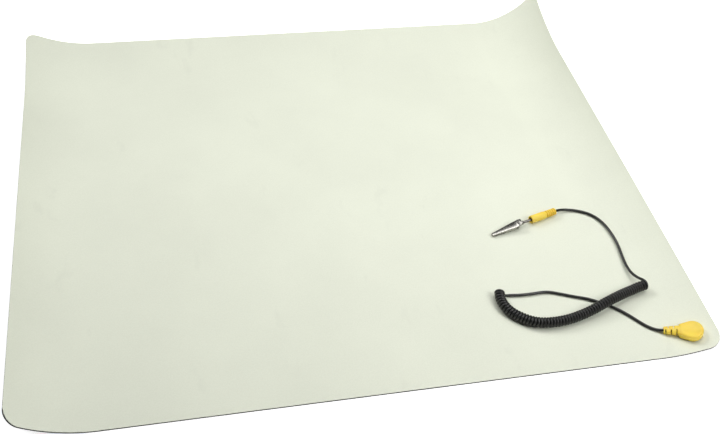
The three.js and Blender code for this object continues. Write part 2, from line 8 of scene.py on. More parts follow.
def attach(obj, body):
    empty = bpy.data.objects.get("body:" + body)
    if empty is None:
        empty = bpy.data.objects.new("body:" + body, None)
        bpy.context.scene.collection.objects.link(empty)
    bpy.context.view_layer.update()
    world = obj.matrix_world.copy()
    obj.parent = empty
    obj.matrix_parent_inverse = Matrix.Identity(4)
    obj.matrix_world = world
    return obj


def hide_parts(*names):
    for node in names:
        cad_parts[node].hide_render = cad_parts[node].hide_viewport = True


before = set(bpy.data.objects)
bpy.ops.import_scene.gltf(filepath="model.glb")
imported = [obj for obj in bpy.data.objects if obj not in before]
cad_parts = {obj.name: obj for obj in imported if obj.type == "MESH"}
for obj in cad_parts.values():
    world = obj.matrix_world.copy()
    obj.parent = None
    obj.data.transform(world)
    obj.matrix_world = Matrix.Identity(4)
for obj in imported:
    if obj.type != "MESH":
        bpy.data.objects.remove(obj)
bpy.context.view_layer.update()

bl_info = {
    "name": "Anti static bench mat",
    "version": (1, 0, 0),
    "blender": (4, 5, 0),
    "location": "View3D > Sidebar > Bench mat",
    "description": "Builds a curled rubber bench mat with its coiled ground cord, plug and clip",
    "category": "Add Mesh",
}

MM = 0.001
MAT_BODY = "mat"
JAW_BODY = "upper_jaw"
CLEARANCE = 0.3

# Picture frame and the camera worked out from the mat's outline
PICTURE_WIDTH = 720
FOCAL_PIXELS = 947.75
SENSOR_MM = 36
CAMERA_PLACE = (-157.148, -679.239, 633.592)
CAMERA_ROWS = (
    (0.977229, -0.199867, 0.071250),
    (0.089083, 0.691210, 0.717142),
    (-0.192582, -0.694465, 0.693276),
)

# Sheet, in millimetres
CORNER_RADIUS = 13
LEFT_LIFT = (26, 20)
LEFT_CURL = 72
RIGHT_LIFT = (10, 41)
RIGHT_CURL = (55, 84)
FAR_LIFT = 17
FAR_CURL = 100
CURL_POWER = 1.9
MIDDLE_SHIFT = (-1.1437, 0.9726)
FLAT_STEP = 12
CORNER_STEPS = 12
BACKING_RIM = 0.25
TOP_LAYER_RIM = 0.18

# Press stud, cap and strain relief
STUD_INSET = (21.7, 18)
STUD_SEAT = 0.1
STUD_SHEET = 0.5
STUD_NECK = 4.35
STUD_RADIUS = 4.9
STUD_HEIGHT = 4.3
STUD_MOUTH = 3.5
STUD_FLANGE = 6.5
STUD_BORE = 2.1
RIVET_UNDERSIDE = -2.3
RIVET_FLANGE = 6.2
RIVET_SHANK = 1.8
RIVET_HEAD = 2.9
CAP_HEADING = 160
CAP_FOOT = 1.1
CAP_HEIGHT = 6.4
CAP_RADIUS = 9.1
CAP_SHOULDER = 11.4
CAP_EDGE = 1.6
CAP_LIP = 0.45
CAP_DISH = 0.16
SOCKET_RECESS = 6.5
SOCKET_RECESS_TOP = 5.7
SOCKET_RADIUS = 6.2
SOCKET_INSIDE = 5.2
SOCKET_GRIP = 5.0
SOCKET_FOOT = 1.2
SOCKET_TOP = 5.4
RELIEF_END = 24.4
RELIEF_RADIUS = 3.1
RELIEF_TIP_RADIUS = 2.3
RELIEF_FLATNESS = 1.6
RELIEF_AXIS = CAP_FOOT + CAP_HEIGHT / 2
RELIEF_SLOTS = 5
SLOT_WIDTH = 1.1
SLOT_PITCH = 2.3
WEB_HALF = 0.4
CORD_INSIDE = 10
CORD_HOLE = 1.6
CORD_IN_BOOT = 15

# Plug and clip
PLUG_PLACE = (208.8, -67.6)
PLUG_AXIS_HEIGHT = 4.3
PLUG_HEADING = 197
BOOT_LENGTH = 28.8
BOOT_TAIL_RADIUS = 3.6
BOOT_GROOVE_FLOOR = 2.5
BOOT_GROOVES = 5
BOOT_RADIUS = 3.9
BOOT_MOUTH_RADIUS = 2.7
BOOT_MOUTH_DEPTH = 5
PIN_RADIUS = 1.2
PIN_IN_BOOT = 12
PIN_BARE = 8.9
PIN_IN_CLIP = 4.5
COLLAR_RADIUS = 2.2
COLLAR_LENGTH = 1.7

# Clip: outlines as pairs of distance from the barrel's mouth and value
CLIP_LENGTH = 36
CLIP_SHEET = 0.5
BARREL_LENGTH = 5.5
BARREL_RADIUS = 2.0
BARREL_SEAM = 0.3
PIVOT = (9, -0.6)
TEETH = 8
TEETH_START = 22
TEETH_END = 35
TOOTH_DEPTH = 0.7
UPPER_EDGE = -2.1
LOWER_EDGE = -2.5
CLIP_FLOOR = -3.9
UPPER_WIDTH = ((3, 2.6), (7, 3.9), (10, 3.9), (36, 1.4))
UPPER_ROOF = (
    (3, 4.0), (5.6, 3.6), (8, 2.3), (11, 1.9), (17, 1.3), (28, 0), (34.5, -0.8), (36, -1.2),
)
UPPER_WALL = ((3, 3.1), (5.8, 2.0), (7.2, -1.5), (9, -2.3), (11.4, -1.8), (21, UPPER_EDGE))
UPPER_FOLDS = ((3, 0.6), (9, 0.8), (28, 0.7), (36, 0.6))
LOWER_WIDTH = ((4.5, 2.1), (7, 3.0), (10, 3.0), (36, 1.4))
LOWER_FLOOR = ((4.5, -2.4), (8, CLIP_FLOOR), (28, CLIP_FLOOR), (36, -3.4))
LOWER_WALL = ((4.5, 0), (7.3, -0.6), (7.9, 0.7), (10.1, 0.7), (10.7, -0.6), (20.5, LOWER_EDGE))
LOWER_FOLDS = ((4.5, 1.0), (9, 1.0), (36, 0.6))
PUNCH_MARKS = (11.6, 16.2)
PUNCH_RADIUS = 0.75
PIVOT_RADIUS = 0.6
PIVOT_HEAD_RADIUS = 1.2
PIVOT_HEAD = 0.5
PIVOT_HALF = 4.2
SPRING_WIRE = 0.5
SPRING_RADIUS = 1.25
SPRING_TURNS = 3
SPRING_GAP = 0.1
SPRING_START = -81

# Cord: the routes have their heights above the mat's flat top
COIL_DIAMETER = 9.4
COIL_TURNS = 61.5
POINTS_PER_TURN = 14
LEAVING_RISE = 0.5
SNAP_LEAD = (
    (262.82, -227.25, 5.35), (258.4, -225.66, 4.3), (254.02, -224.05, 3.26), (248.8, -221.6, 2.15),
    (242.8, -216.8, 1.6), (237.1, -210.2, 1.6), (231.4, -202.6, 1.6), (225.6, -196, 1.6),
    (219.2, -190.2, 1.6), (212.8, -185.8, 1.6), (206.4, -181.4, 1.6), (200, -178, 1.6),
    (189, -173.8, 1.6), (178, -169.2, 1.6), (168.3, -165.7, 1.6), (161, -165, 1.6),
    (153.6, -165.4, 1.6), (141.5, -165.4, 1.6), (133, -164.6, 1.6), (126.6, -164, 1.6),
)
COIL = (
    (121.9, -162, 5), (120.5, -170.4, 5), (122, -180, 5), (127.3, -188.4, 5), (135, -195.3, 5),
    (143.4, -199.9, 5), (153.6, -202, 5), (164.8, -202.2, 5), (176, -200.9, 5.1), (188, -198, 5.5),
    (200.4, -194.4, 6.9), (209, -191.2, 8), (216.5, -188.3, 8.3), (224, -185.3, 8), (233, -181.5, 7.1),
    (243, -177.8, 6.3), (250.4, -175.5, 6.6), (257.5, -174.4, 7.5),
)
PLUG_LEAD = (
    (255.6, -168.8, 9.3), (254.6, -166, 8), (253.6, -162.5, 6.6), (252.4, -156.5, 4.9),
    (252.1, -149, 3.8), (252.5, -141, 3.2), (253.2, -134, 3.2), (254.8, -118.6, 3.5), (254.3, -102, 3.6),
    (251.2, -86.6, 3.2), (245, -75.2, 2.4), (235.6, -68.3, 1.8), (226, -65.2, 1.9),
    (217, -65.2, 3.1), (208.8, -67.6, 4.3), (202, -69.68, 4.3), (194.6, -71.94, 4.3),
)

# Stage, in metres and watts: name, place, aim, power and spread in degrees
LIGHT_SIZE = 0.7
LIGHTS = (
    ("overhead", (0.35, 0.10, 0.90), (0.35, 0.10, 0.0), 5.05, 180),
    ("far_left", (-0.92, 0.92, 1.2), (0, 0, 0), 2.45, 70),
    ("near_right", (0.92, -0.92, 1.2), (0, 0, 0), 2.05, 70),
)
WORLD_STRENGTH = 0.07
FLOOR_HALF = 30
FLOOR_GLOW = 0.75


class BenchMatSheet(bpy.types.PropertyGroup):
    """Sizes and colours of the mat's two layers"""
    width: bpy.props.FloatProperty(
        name="Width", description="Flat width of the mat", default=0.6, unit="LENGTH")
    depth: bpy.props.FloatProperty(
        name="Depth", description="Flat depth of the mat", default=0.5, unit="LENGTH")
    backing: bpy.props.FloatProperty(
        name="Backing", description="Thickness of the black conductive backing", default=0.0015,
        unit="LENGTH")
    top_layer: bpy.props.FloatProperty(
        name="Top layer", description="Thickness of the pale dissipative layer", default=0.0005,
        unit="LENGTH")
    mesh_step: bpy.props.FloatProperty(
        name="Mesh step", description="Spacing of the sheet's grid where it curls", default=0.003,
        unit="LENGTH")
    top_color: bpy.props.FloatVectorProperty(
        name="Top colour", description="Colour of the pale layer", default=(0.80, 0.83, 0.70),
        subtype="COLOR", size=3)
    backing_color: bpy.props.FloatVectorProperty(
        name="Backing colour", description="Colour of the black layer", default=(0.012, 0.012, 0.010),
        subtype="COLOR", size=3)


class BenchMatCord(bpy.types.PropertyGroup):
    """Size and colours of the cord and its mouldings"""
    diameter: bpy.props.FloatProperty(
        name="Cord diameter", description="Outside diameter of the jacket", default=0.0026,
        unit="LENGTH")
    color: bpy.props.FloatVectorProperty(
        name="Cord colour", description="Colour of the jacket", default=(0.004, 0.004, 0.0036),
        subtype="COLOR", size=3)
    moulding_color: bpy.props.FloatVectorProperty(
        name="Moulding colour", description="Colour of the snap cap and the plug's boot",
        default=(0.93, 0.68, 0.075), subtype="COLOR", size=3)


def settings():
    return bpy.context.scene.bench_mat_sheet, bpy.context.scene.bench_mat_cord


# Sheet geometry

def curl(distance, lift, width):
    """How far an edge rises and draws in at a distance from it."""
    q = min(1.0, max(0.0, (width - distance) / width))
    steep = 2 * CURL_POWER - 1
    rise = lift * q ** CURL_POWER
    pull = (lift * CURL_POWER) ** 2 / (2 * steep * width) * q ** steep
    return rise, pull


def blend_values(pair, t):
    return pair[0] + (pair[1] - pair[0]) * t


class Sheet:
    """The curled sheet: flat coordinates u and v, in millimetres, to places in the frame."""

    def __init__(self, width, depth):
        self.width = width
        self.depth = depth
        self.shift = Vector((*MIDDLE_SHIFT, 0))

    def under(self, u, v):
        t = v / self.depth + 0.5
        left_rise, left_pull = curl(u + self.width / 2, blend_values(LEFT_LIFT, t), LEFT_CURL)
        right_rise, right_pull = curl(
            self.width / 2 - u, blend_values(RIGHT_LIFT, t), blend_values(RIGHT_CURL, t))
        far_rise, far_pull = curl(self.depth / 2 - v, FAR_LIFT, FAR_CURL)
        place = Vector((u + left_pull - right_pull, v - far_pull, left_rise + right_rise + far_rise))
        return place + self.shift

    def normal(self, u, v):
        step = 0.01
        across = self.under(u + step, v) - self.under(u - step, v)
        along = self.under(u, v + step) - self.under(u, v - step)
        return across.cross(along).normalized()

    def at(self, u, v, height):
        return self.under(u, v) + self.normal(u, v) * height


def spread(start, end, step):
    """Places from start to end, without start, at most step apart."""
    count = max(1, math.ceil(abs(end - start) / step))
    return [start + (end - start) * (i + 1) / count for i in range(count)]


def sheet_layer(sheet, low, high, step, edge):
    """A closed layer of the sheet between two heights, with its rim rounded by edge."""
    half = sheet.width / 2
    inner = half - CORNER_RADIUS
    flat_left = -half + LEFT_CURL
    flat_right = half - max(RIGHT_CURL)
    arc = [CORNER_RADIUS * (1 - math.cos(math.pi / 2 * i / CORNER_STEPS))
           for i in range(CORNER_STEPS)]
    across = [-half + a for a in arc] + [-inner]
    across += spread(-inner, flat_left, step)
    across += spread(flat_left, flat_right, FLAT_STEP)
    across += spread(flat_right, inner, step)
    across += [half - a for a in reversed(arc)]
    half_depth = sheet.depth / 2
    flat_end = half_depth - FAR_CURL
    along = [-half_depth] + spread(-half_depth, flat_end, FLAT_STEP)
    along += spread(flat_end, half_depth, step)

    def reach(u):
        past = max(0.0, abs(u) - inner)
        drop = CORNER_RADIUS - math.sqrt(max(0.0, CORNER_RADIUS ** 2 - past ** 2))
        return (half_depth - drop) / half_depth

    mesh = bmesh.new()
    grids = []
    for height in (low, high):
        grids.append([
            [mesh.verts.new(sheet.at(u, v * reach(u), height) * MM) for v in along] for u in across
        ])
    lower, upper = grids
    columns, rows = len(across), len(along)
    for i in range(columns - 1):
        for j in range(rows - 1):
            mesh.faces.new((upper[i][j], upper[i + 1][j], upper[i + 1][j + 1], upper[i][j + 1]))
            mesh.faces.new((lower[i][j + 1], lower[i + 1][j + 1], lower[i + 1][j], lower[i][j]))
    rim = [(i, 0) for i in range(columns)] + [(columns - 1, j) for j in range(1, rows)]
    rim += [(i, rows - 1) for i in range(columns - 2, -1, -1)] + [(0, j) for j in range(rows - 2, 0, -1)]
    for k, (i, j) in enumerate(rim):
        m, n = rim[(k + 1) % len(rim)]
        mesh.faces.new((lower[i][j], lower[m][n], upper[m][n], upper[i][j]))
    borders = [e for e in mesh.edges if e.calc_face_angle(0) > math.radians(50)]
    bmesh.ops.bevel(mesh, geom=borders, offset=edge * MM, segments=2, profile=0.6, affect="EDGES")
    return mesh


# Mesh helpers

def add_object(name, data):
    piece = bpy.data.objects.new(name, data)
    bpy.context.scene.collection.objects.link(piece)
    return piece


def finish_mesh(name, mesh, material, smooth_angle=40):
    data = bpy.data.meshes.new(name)
    bmesh.ops.recalc_face_normals(mesh, faces=mesh.faces)
    for face in mesh.faces:
        face.smooth = True
    for edge in mesh.edges:
        edge.smooth = edge.calc_face_angle(0) < math.radians(smooth_angle)
    mesh.to_mesh(data)
    mesh.free()
    data.materials.append(material)
    return add_object(name, data)


def turned(points, segments=64):
    """A turned body about Z, from points of radius and height that start and end on the axis
    or close on themselves."""
    mesh = bmesh.new()
    closed = points[0] == points[-1]
    profile = points[:-1] if closed else points
    rings = []
    for radius, height in profile:
        if radius < 1e-6:
            rings.append([mesh.verts.new(Vector((0, 0, height)) * MM)])
            continue
        rings.append([
            mesh.verts.new(Vector((
                radius * math.cos(2 * math.pi * k / segments),
                radius * math.sin(2 * math.pi * k / segments), height)) * MM)
            for k in range(segments)
        ])
    pairs = list(zip(rings, rings[1:] + ([rings[0]] if closed else [])))
    for a, b in pairs:
        for k in range(segments):
            n = (k + 1) % segments
            corners = [a[k % len(a)], a[n % len(a)], b[n % len(b)], b[k % len(b)]]
            unique = list(dict.fromkeys(corners))
            if len(unique) > 2:
                mesh.faces.new(unique)
    bmesh.ops.recalc_face_normals(mesh, faces=mesh.faces)
    return mesh


def along_x(mesh):
    mesh.transform(Matrix.Rotation(math.pi / 2, 4, "Y"))
    return mesh


def rounded(points, radius, steps=4):
    """The same outline with every corner between its ends rounded off."""
    result = [points[0]]
    for before, corner, after in zip(points, points[1:], points[2:]):
        b, c, a = Vector(before), Vector(corner), Vector(after)
        room = min(radius, (b - c).length * 0.45, (a - c).length * 0.45)
        start, end = c + (b - c).normalized() * room, c + (a - c).normalized() * room
        for i in range(steps + 1):
            t = i / steps
            result.append(tuple(start * (1 - t) ** 2 + c * 2 * t * (1 - t) + end * t ** 2))
    result.append(points[-1])
    return result


def box_mesh(low, high):
    mesh = bmesh.new()
    bmesh.ops.create_cube(mesh, size=1)
    size = Vector(high) - Vector(low)
    middle = (Vector(high) + Vector(low)) / 2
    mesh.transform(Matrix.Translation(middle * MM) @ Matrix.Diagonal((*(size * MM), 1)))
    return mesh


def stacked(rings):
    """A closed body through rings that have the same number of points."""
    mesh = bmesh.new()
    made = [[mesh.verts.new(Vector(p) * MM) for p in ring] for ring in rings]
    for a, b in zip(made, made[1:]):
        for k in range(len(a)):
            n = (k + 1) % len(a)
            mesh.faces.new((a[k], a[n], b[n], b[k]))
    mesh.faces.new(list(reversed(made[0])))
    mesh.faces.new(made[-1])
    bmesh.ops.recalc_face_normals(mesh, faces=mesh.faces)
    return mesh


def value_at(points, x):
    """The value at x on a line through points of x and value."""
    if x <= points[0][0]:
        return points[0][1]
    for (x0, v0), (x1, v1) in zip(points, points[1:]):
        if x <= x1:
            return v0 + (v1 - v0) * (x - x0) / (x1 - x0)
    return points[-1][1]


def eased(points, x, reach=1.2, steps=4):
    """The same with its corners rounded off over reach."""
    near = [value_at(points, x + reach * k / steps) for k in range(-steps, steps + 1)]
    return sum(near) / len(near)


def folded(x, half, roof, edge, fold, steps=5):
    """One section of a folded sheet: up one wall, over the roof and down the other."""
    side = 1 if roof > edge else -1
    fold = min(fold, abs(roof - edge) * 0.9, half * 0.9)
    points = [Vector((x, -half, edge))]
    for start, centre in ((180, -half + fold), (90, half - fold)):
        for k in range(steps + 1):
            angle = math.radians(start - 90 * k / steps)
            level = roof - side * fold * (1 - math.sin(angle))
            points.append(Vector((x, centre + fold * math.cos(angle), level)))
    points.append(Vector((x, half, edge)))
    return points


def jaw_shell(stations, sheet):
    """A jaw folded from sheet, open at the back and shut at its nose. Each station gives x,
    half width, roof, wall edge and fold radius."""
    mesh = bmesh.new()
    outer, inner = [], []
    for x, half, roof, edge, fold in stations:
        side = 1 if roof > edge else -1
        outer.append([mesh.verts.new(p * MM) for p in folded(x, half, roof, edge, fold)])
        within = folded(x, half - sheet, roof - side * sheet, edge, max(0.15, fold - sheet))
        inner.append([mesh.verts.new(p * MM) for p in within])
    last = len(stations) - 1
    count = len(outer[0])
    for i in range(last):
        for k in range(count - 1):
            mesh.faces.new((outer[i][k], outer[i + 1][k], outer[i + 1][k + 1], outer[i][k + 1]))
    for vert in inner[last]:
        mesh.verts.remove(vert)
    for i in range(last - 1):
        for k in range(count - 1):
            mesh.faces.new((inner[i][k + 1], inner[i + 1][k + 1], inner[i + 1][k], inner[i][k]))
        for k in (0, count - 1):
            mesh.faces.new((outer[i][k], outer[i + 1][k], inner[i + 1][k], inner[i][k]))
    for k in range(count - 1):
        mesh.faces.new((outer[0][k], outer[0][k + 1], inner[0][k + 1], inner[0][k]))
    nose, back = outer[last], inner[last - 1]
    mesh.faces.new(nose)
    mesh.faces.new(list(reversed(back)))
    mesh.faces.new((nose[0], nose[-1], back[-1], back[0]))
    mesh.faces.new((outer[last - 1][0], nose[0], back[0]))
    mesh.faces.new((outer[last - 1][-1], nose[-1], back[-1]))
    bmesh.ops.recalc_face_normals(mesh, faces=mesh.faces)
    return mesh


def jaw_stations(start, width, roof, wall, edge, depth, folds):
    """Stations every millimetre and at every tooth, with the teeth cut into the wall's edge."""
    pitch = (TEETH_END - TEETH_START) / TEETH
    marks = [start + k for k in range(int(TEETH_START - start))] + [TEETH_START]
    for k in range(TEETH):
        marks += [TEETH_START + pitch * (k + 0.5), TEETH_START + pitch * (k + 1)]
    marks += [CLIP_LENGTH - 0.5, CLIP_LENGTH]
    stations = []
    for x in marks:
        in_notch = TEETH_START < x < TEETH_END and 0.25 < (x - TEETH_START) / pitch % 1 < 0.75
        level = value_at(wall, x) if x < TEETH_START else edge + (depth if in_notch else 0)
        stations.append((x, eased(width, x), eased(roof, x), level, value_at(folds, x)))
    return stations


def round_line(name, places, diameter, detail, material):
    """A cord or wire through places, in metres, with closed ends."""
    data = bpy.data.curves.new(name, "CURVE")
    data.dimensions = "3D"
    data.resolution_u = detail
    data.bevel_depth = diameter / 2
    data.bevel_resolution = detail
    data.use_fill_caps = True
    spline = data.splines.new("BEZIER")
    spline.bezier_points.add(len(places) - 1)
    for knot, place in zip(spline.bezier_points, places):
        knot.co = place
        knot.handle_left_type = "AUTO"
        knot.handle_right_type = "AUTO"
    data.materials.append(material)
    return add_object(name, data)


def boolean(base, cutters, operation):
    """Applies each cutter mesh to the base mesh and returns the new mesh."""
    data = bpy.data.meshes.new("boolean_base")
    base.to_mesh(data)
    base.free()
    holder = add_object("boolean_base", data)
    helpers = []
    for index, cutter in enumerate(cutters):
        cutter_data = bpy.data.meshes.new(f"boolean_cutter_{index}")
        bmesh.ops.recalc_face_normals(cutter, faces=cutter.faces)
        cutter.to_mesh(cutter_data)
        cutter.free()
        helper = add_object(f"boolean_cutter_{index}", cutter_data)
        helpers.append(helper)
        modifier = holder.modifiers.new(f"cut_{index}", "BOOLEAN")
        modifier.operation = operation
        modifier.solver = "EXACT"
        modifier.object = helper
    bpy.context.view_layer.update()
    evaluated = holder.evaluated_get(bpy.context.evaluated_depsgraph_get())
    result = bmesh.new()
    result.from_mesh(evaluated.to_mesh())
    evaluated.to_mesh_clear()
    for helper in [holder, *helpers]:
        mesh_data = helper.data
        bpy.data.objects.remove(helper)
        bpy.data.meshes.remove(mesh_data)
    return result


# Materials

class Nodes:
    """A short way to build a material's node tree."""

    def __init__(self, name):
        self.material = bpy.data.materials.new(name)
        self.material.use_nodes = True
        self.tree = self.material.node_tree
        self.tree.nodes.clear()
        self.output = self.tree.nodes.new("ShaderNodeOutputMaterial")
        self.shader = self.tree.nodes.new("ShaderNodeBsdfPrincipled")
        self.link(self.shader, "BSDF", self.output, "Surface")
        self.place = self.tree.nodes.new("ShaderNodeTexCoord")

    def link(self, source, output, target, value):
        self.tree.links.new(source.outputs[output], target.inputs[value])

    def set(self, **values):
        for key, value in values.items():
            self.shader.inputs[key.replace("_", " ")].default_value = value

    def stretched(self, scale):
        node = self.tree.nodes.new("ShaderNodeMapping")
        node.inputs["Scale"].default_value = scale
        self.link(self.place, "Object", node, "Vector")
        return node

    def noise(self, scale, detail=3.0, rough=0.5, source=None):
        node = self.tree.nodes.new("ShaderNodeTexNoise")
        node.inputs["Scale"].default_value = scale
        node.inputs["Detail"].default_value = detail
        node.inputs["Roughness"].default_value = rough
        if source is None:
            self.link(self.place, "Object", node, "Vector")
        else:
            self.link(source, "Vector", node, "Vector")
        return node

    def cells(self, scale):
        node = self.tree.nodes.new("ShaderNodeTexVoronoi")
        node.feature = "SMOOTH_F1"
        node.inputs["Scale"].default_value = scale
        self.link(self.place, "Object", node, "Vector")
        return node

    def ramp(self, source, output, stops):
        node = self.tree.nodes.new("ShaderNodeValToRGB")
        self.link(source, output, node, "Fac")
        elements = node.color_ramp.elements
        while len(elements) < len(stops):
            elements.new(0.5)
        for element, (position, color) in zip(elements, stops):
            element.position = position
            element.color = (*color, 1)
        return node

    def mix(self, factor, first, second, blend="MIX"):
        """Colours mixed by a node's output or a number; first and second are nodes or colours."""
        node = self.tree.nodes.new("ShaderNodeMix")
        node.data_type = "RGBA"
        node.blend_type = blend
        if isinstance(factor, tuple):
            self.link(factor[0], factor[1], node, 0)
        else:
            node.inputs[0].default_value = factor
        for index, value in ((6, first), (7, second)):
            if isinstance(value, tuple) and isinstance(value[0], bpy.types.Node):
                self.tree.links.new(value[0].outputs[value[1]], node.inputs[index])
            else:
                node.inputs[index].default_value = (*value, 1)
        return node

    def span(self, source, output, low, high, start=0.0, end=1.0):
        node = self.tree.nodes.new("ShaderNodeMapRange")
        node.inputs["From Min"].default_value = low
        node.inputs["From Max"].default_value = high
        node.inputs["To Min"].default_value = start
        node.inputs["To Max"].default_value = end
        self.link(source, output, node, "Value")
        return node

    def bump(self, source, output, height, strength=1.0, after=None):
        node = self.tree.nodes.new("ShaderNodeBump")
        node.inputs["Strength"].default_value = strength
        node.inputs["Distance"].default_value = height
        self.link(source, output, node, "Height")
        if after is not None:
            self.link(after, "Normal", node, "Normal")
        return node


def scaled(color, factor):
    return tuple(min(1.0, part * factor) for part in color)


def dissipative_rubber(color):
    """Matt calendered rubber: a fine pebbled skin, faint clouds and a few handling marks."""
    n = Nodes("dissipative_rubber")
    clouds = n.noise(9, 4, 0.55)
    shade = n.ramp(clouds, "Fac", [(0.3, scaled(color, 0.965)), (0.72, scaled(color, 1.02))])
    speck = n.noise(900, 2, 0.5)
    fine = n.ramp(speck, "Fac", [(0.35, (0.965, 0.965, 0.96)), (0.65, (1, 1, 1))])
    tint = n.mix(1.0, (shade, "Color"), (fine, "Color"), "MULTIPLY")
    smudge = n.noise(34, 5, 0.62, n.stretched((1.0, 0.45, 1.0)))
    marks = n.span(smudge, "Fac", 0.62, 0.8)
    dirty = n.mix((marks, "Result"), (tint, 2), scaled(color, 0.9))
    n.link(dirty, 2, n.shader, "Base Color")
    skin = n.span(clouds, "Fac", 0.2, 0.8, 0.58, 0.72)
    n.link(skin, "Result", n.shader, "Roughness")
    pebble = n.cells(1100)
    grain = n.bump(pebble, "Distance", 0.00008, 0.5)
    waves = n.bump(n.noise(16, 2, 0.4), "Fac", 0.0012, 0.25, grain)
    n.link(waves, "Normal", n.shader, "Normal")
    n.set(Specular_IOR_Level=0.35)
    return n.material


def conductive_rubber(color):
    """Black carbon loaded rubber with a fine cloth mark and dusty edges."""
    n = Nodes("conductive_rubber")
    dust = n.noise(60, 5, 0.6)
    shade = n.ramp(dust, "Fac", [(0.35, color), (0.8, scaled(color, 2.6))])
    n.link(shade, "Color", n.shader, "Base Color")
    rough = n.span(dust, "Fac", 0.2, 0.8, 0.62, 0.85)
    n.link(rough, "Result", n.shader, "Roughness")
    grain = n.bump(n.cells(900), "Distance", 0.0001, 0.6)
    n.link(grain, "Normal", n.shader, "Normal")
    return n.material


def cord_jacket(color):
    """Black satin jacket, a little duller where it rubs."""
    n = Nodes("cord_jacket")
    wear = n.noise(180, 4, 0.6)
    shade = n.ramp(wear, "Fac", [(0.35, color), (0.75, scaled(color, 1.8))])
    n.link(shade, "Color", n.shader, "Base Color")
    rough = n.span(wear, "Fac", 0.25, 0.75, 0.26, 0.38)
    n.link(rough, "Result", n.shader, "Roughness")
    grain = n.bump(n.noise(2600, 3, 0.5), "Fac", 0.00003, 0.5)
    n.link(grain, "Normal", n.shader, "Normal")
    n.set(Specular_IOR_Level=0.6)
    return n.material


def yellow_moulding(color):
    """Satin injection moulded plastic with flow marks and a faintly sparked skin."""
    n = Nodes("yellow_moulding")
    flow = n.noise(70, 4, 0.55, n.stretched((1.0, 2.2, 1.0)))
    shade = n.ramp(flow, "Fac", [(0.3, scaled(color, 0.93)), (0.7, scaled(color, 1.03))])
    n.link(shade, "Color", n.shader, "Base Color")
    rough = n.span(flow, "Fac", 0.25, 0.75, 0.34, 0.5)
    n.link(rough, "Result", n.shader, "Roughness")
    grain = n.bump(n.noise(3200, 2, 0.5), "Fac", 0.00004, 0.5)
    n.link(grain, "Normal", n.shader, "Normal")
    n.set(Subsurface_Weight=0.12, Subsurface_Scale=0.002, Specular_IOR_Level=0.5)
    return n.material


def plated_metal(name, color, rough_low, rough_high):
    """Nickel plated sheet with fine rubbed scratches and slight tarnish. The colour comes from the
    caller; the pin's and the clip's are darkened as painted shade.
    """
    n = Nodes(name)
    tarnish = n.noise(240, 4, 0.6)
    shade = n.ramp(tarnish, "Fac", [(0.3, scaled(color, 0.82)), (0.65, color)])
    n.link(shade, "Color", n.shader, "Base Color")
    rough = n.span(tarnish, "Fac", 0.2, 0.8, rough_high, rough_low)
    n.link(rough, "Result", n.shader, "Roughness")
    scratch = n.noise(1400, 3, 0.6, n.stretched((0.15, 1.0, 1.0)))
    n.link(n.bump(scratch, "Fac", 0.00002, 0.5), "Normal", n.shader, "Normal")
    n.set(Metallic=1.0)
    return n.material


def stage_floor():
    n = Nodes("pale_floor")
    cloud = n.noise(2.5, 3, 0.5)
    shade = n.ramp(cloud, "Fac", [(0.2, (0.93, 0.93, 0.93)), (0.8, (0.96, 0.96, 0.96))])
    n.link(shade, "Color", n.shader, "Base Color")
    n.set(Roughness=0.8, Emission_Strength=FLOOR_GLOW)
    n.shader.inputs["Emission Color"].default_value = (1, 1, 1, 1)
    return n.material


# Cord geometry

def catmull(points, steps):
    """Points of a smooth curve through the given ones, with steps points for each stretch."""
    result = []
    count = len(points)
    for i in range(count - 1):
        p0 = points[max(0, i - 1)]
        p1, p2 = points[i], points[i + 1]
        p3 = points[min(count - 1, i + 2)]
        for k in range(steps):
            t = k / steps
            result.append(0.5 * (
                2 * p1 + (p2 - p0) * t + (2 * p0 - 5 * p1 + 4 * p2 - p3) * t ** 2
                + (3 * p1 - p0 - 3 * p2 + p3) * t ** 3))
    result.append(points[-1])
    return result


def evenly(points, count):
    """The same line as count points at equal distances."""
    travelled = [0.0]
    for a, b in zip(points, points[1:]):
        travelled.append(travelled[-1] + (b - a).length)
    result, k = [], 0
    for i in range(count):
        want = travelled[-1] * i / (count - 1)
        while k < len(points) - 2 and travelled[k + 1] < want:
            k += 1
        share = (want - travelled[k]) / max(1e-9, travelled[k + 1] - travelled[k])
        result.append(points[k].lerp(points[k + 1], min(1.0, share)))
    return result


def helix(centreline, radius, turns, per_turn):
    """The cord's turns round the coil's centreline, from the bottom of the first to the top of
    the last, wound left handed."""
    count = int(turns * per_turn) + 1
    middle = evenly(catmull(centreline, 24), count)
    result = []
    for i, centre in enumerate(middle):
        tangent = (middle[min(count - 1, i + 1)] - middle[max(0, i - 1)]).normalized()
        up = (Vector((0, 0, 1)) - tangent * tangent.z).normalized()
        side = tangent.cross(up)
        angle = math.pi - 2 * math.pi * turns * i / (count - 1)
        result.append(centre + (up * math.cos(angle) + side * math.sin(angle)) * radius)
    return result


def in_frame(points, sheet, top):
    return [Vector(p) + sheet.shift + Vector((0, 0, top)) for p in points]


def the_sheet():
    sizes, _ = settings()
    return Sheet(sizes.width / MM, sizes.depth / MM), (sizes.backing + sizes.top_layer) / MM


def stud_frame():
    """The press stud's frame: Z leaves the sheet and X points along the strain relief."""
    sheet, top = the_sheet()
    u = sheet.width / 2 - STUD_INSET[0]
    v = -sheet.depth / 2 + STUD_INSET[1]
    up = sheet.normal(u, v)
    heading = math.radians(CAP_HEADING)
    side = Vector((-math.sin(heading), math.cos(heading), 0))
    forward = side.cross(up).normalized()
    left = up.cross(forward)
    place = sheet.at(u, v, top + STUD_SEAT) * MM
    turn = Matrix((forward, left, up)).transposed().to_4x4()
    return Matrix.Translation(place) @ turn


